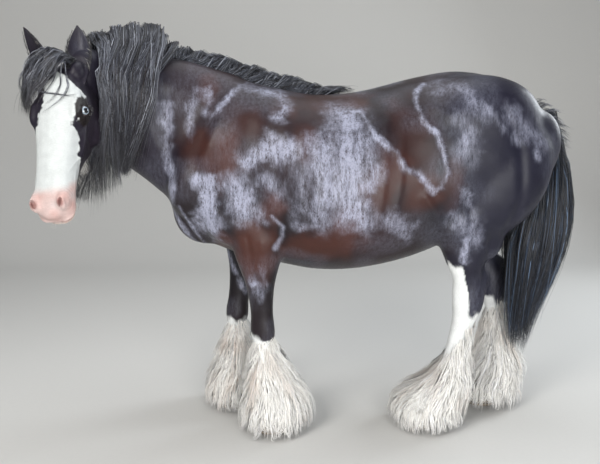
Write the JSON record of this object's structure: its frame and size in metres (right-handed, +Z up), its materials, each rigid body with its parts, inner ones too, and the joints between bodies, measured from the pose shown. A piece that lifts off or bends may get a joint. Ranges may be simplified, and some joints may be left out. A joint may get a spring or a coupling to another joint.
{
  "type": "gypsy vanner horse",
  "caption": "Life-size standing feathered cob horse with a white face, white feathered legs, long black mane and tail, looking to its left.",
  "frame": {"origin": "on the ground under the middle of the bounding box", "axes": "+Z up; the horse faces -X and its left side faces -Y"},
  "size_m": [2.1452, 0.9062, 1.6535],
  "materials": {
    "coat": "short sleek hair, near-black brown with white markings",
    "hair": "long blue-black hair",
    "feather": "long cream-white hair",
    "horn": "hoof horn",
    "eye": "wet pale-blue eye"
  },
  "bodies": {
    "root": {"torso": "coat", "neck": "coat", "head": "coat", "ear_left": "coat", "ear_right": "coat", "eye_left": "eye", "eye_right": "eye", "foreleg_left": "coat", "foreleg_right": "coat", "hindleg_left": "coat", "hindleg_right": "coat", "lower_foreleg_left": "feather", "lower_foreleg_right": "feather", "lower_hindleg_left": "feather", "lower_hindleg_right": "feather", "hoof_fore_left": "horn", "hoof_fore_right": "horn", "hoof_hind_left": "horn", "hoof_hind_right": "horn", "tail": "hair"}
  },
  "joints": []
}
